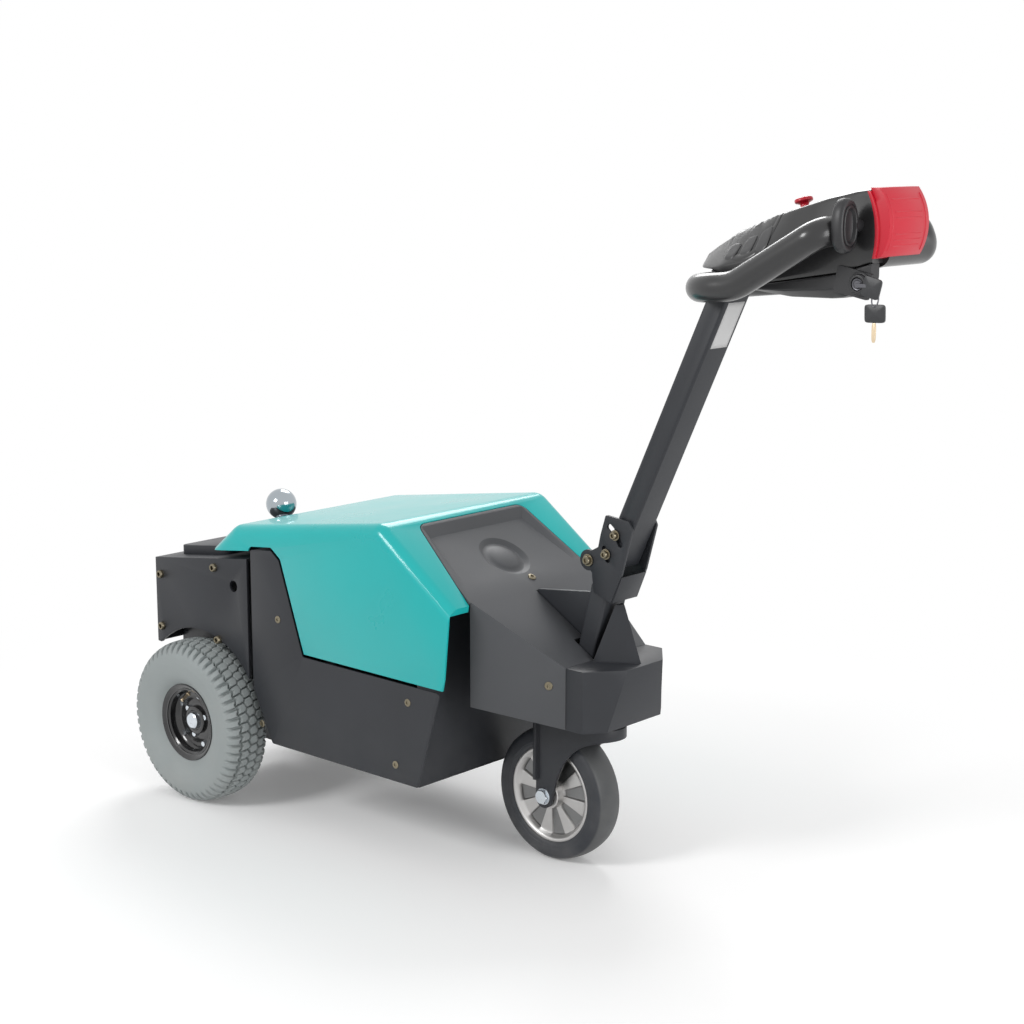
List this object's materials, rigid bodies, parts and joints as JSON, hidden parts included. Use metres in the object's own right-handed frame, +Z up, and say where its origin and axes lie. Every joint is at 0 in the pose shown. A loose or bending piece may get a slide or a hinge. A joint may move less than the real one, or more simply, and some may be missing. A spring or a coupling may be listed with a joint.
{
  "type": "electric tow tractor",
  "caption": "Walk-behind electric tow tractor with driven wheels under a rear box, a tow ball, a sloped cover, a nose on a swivel castor and a tiller with a ring grip.",
  "frame": {"origin": "on the floor under the centre of the machine's outer box", "axes": "+X from the tow ball towards the tiller, +Y the machine's left side, +Z up"},
  "size_m": [1.28, 0.4538, 0.986],
  "materials": {
    "black_powder_coat": "fine satin powder coat",
    "battery_case": "matte",
    "drive_casting": "painted casting",
    "polished_chrome": "polished",
    "teal_gloss": "glossy",
    "grained_plastic": "fine grain",
    "plated_bolts": "dark plated",
    "grey_tyre": "non-marking grey rubber",
    "black_rim": "gloss black",
    "zinc": "zinc plated",
    "cast_aluminium": "turned and cast",
    "castor_rubber": "elastic rubber",
    "black_gloss_plastic": "semi gloss",
    "black_matte_plastic": "moulded matte",
    "red_plastic": "satin",
    "key_metal": "nickel plated"
  },
  "bodies": {
    "chassis": {"chassis_tray": "black_powder_coat", "bulkhead": "black_powder_coat", "battery": "battery_case", "drive_unit": "drive_casting", "side_panel_left": "black_powder_coat", "side_panel_right": "black_powder_coat", "rear_side_left": "black_powder_coat", "rear_side_right": "black_powder_coat", "rear_wall": "black_powder_coat", "rear_deck": "black_powder_coat", "hitch_plate": "black_powder_coat", "tow_ball": "polished_chrome", "cover": "teal_gloss", "front_shell": "grained_plastic", "nose_frame": "black_powder_coat", "nose_front": "black_powder_coat", "castor_plate": "black_powder_coat", "lower_post": "black_powder_coat", "post_gusset": "black_powder_coat", "post_brace": "black_powder_coat", "saddle": "black_powder_coat", "pivot_bolt": "plated_bolts"},
    "drive_wheel_left": {"tyre_left": "grey_tyre", "rim_left": "black_rim", "hub_left": "zinc"},
    "drive_wheel_right": {"tyre_right": "grey_tyre", "rim_right": "black_rim", "hub_right": "zinc"},
    "castor_swivel": {"castor_fork": "black_powder_coat", "castor_axle": "zinc"},
    "castor_wheel": {"castor_rim": "cast_aluminium", "castor_tyre": "castor_rubber"},
    "tiller": {"tiller_tube": "black_powder_coat", "clamp_bolts": "plated_bolts", "grip_ring": "black_gloss_plastic", "head_upper": "black_gloss_plastic", "head_lower": "black_matte_plastic", "belly_switch": "red_plastic", "stop_knob": "red_plastic", "keypad": "black_gloss_plastic", "key_switch": "black_matte_plastic", "keys": "key_metal", "throttle_left": "black_matte_plastic", "throttle_right": "black_matte_plastic"}
  },
  "joints": [
    {"name": "drive_wheel_left_spin", "type": "hinge", "parent": "chassis", "child": "drive_wheel_left", "pos_m": [-0.51, 0.1845, 0.13], "axis": [0, 1, 0], "continuous": true},
    {"name": "drive_wheel_right_spin", "type": "hinge", "parent": "chassis", "child": "drive_wheel_right", "pos_m": [-0.51, -0.1845, 0.13], "axis": [0, 1, 0], "continuous": true},
    {"name": "castor_swivel", "type": "hinge", "parent": "chassis", "child": "castor_swivel", "pos_m": [0.142, 0, 0.218], "axis": [0, 0, 1], "continuous": true},
    {"name": "castor_wheel_spin", "type": "hinge", "parent": "castor_swivel", "child": "castor_wheel", "pos_m": [0.088, 0, 0.1], "axis": [0, 1, 0], "continuous": true},
    {"name": "tiller_tilt", "type": "hinge", "parent": "chassis", "child": "tiller", "pos_m": [0.1645, 0, 0.463], "axis": [0, 1, 0], "range_deg": [-8, 8]}
  ]
}
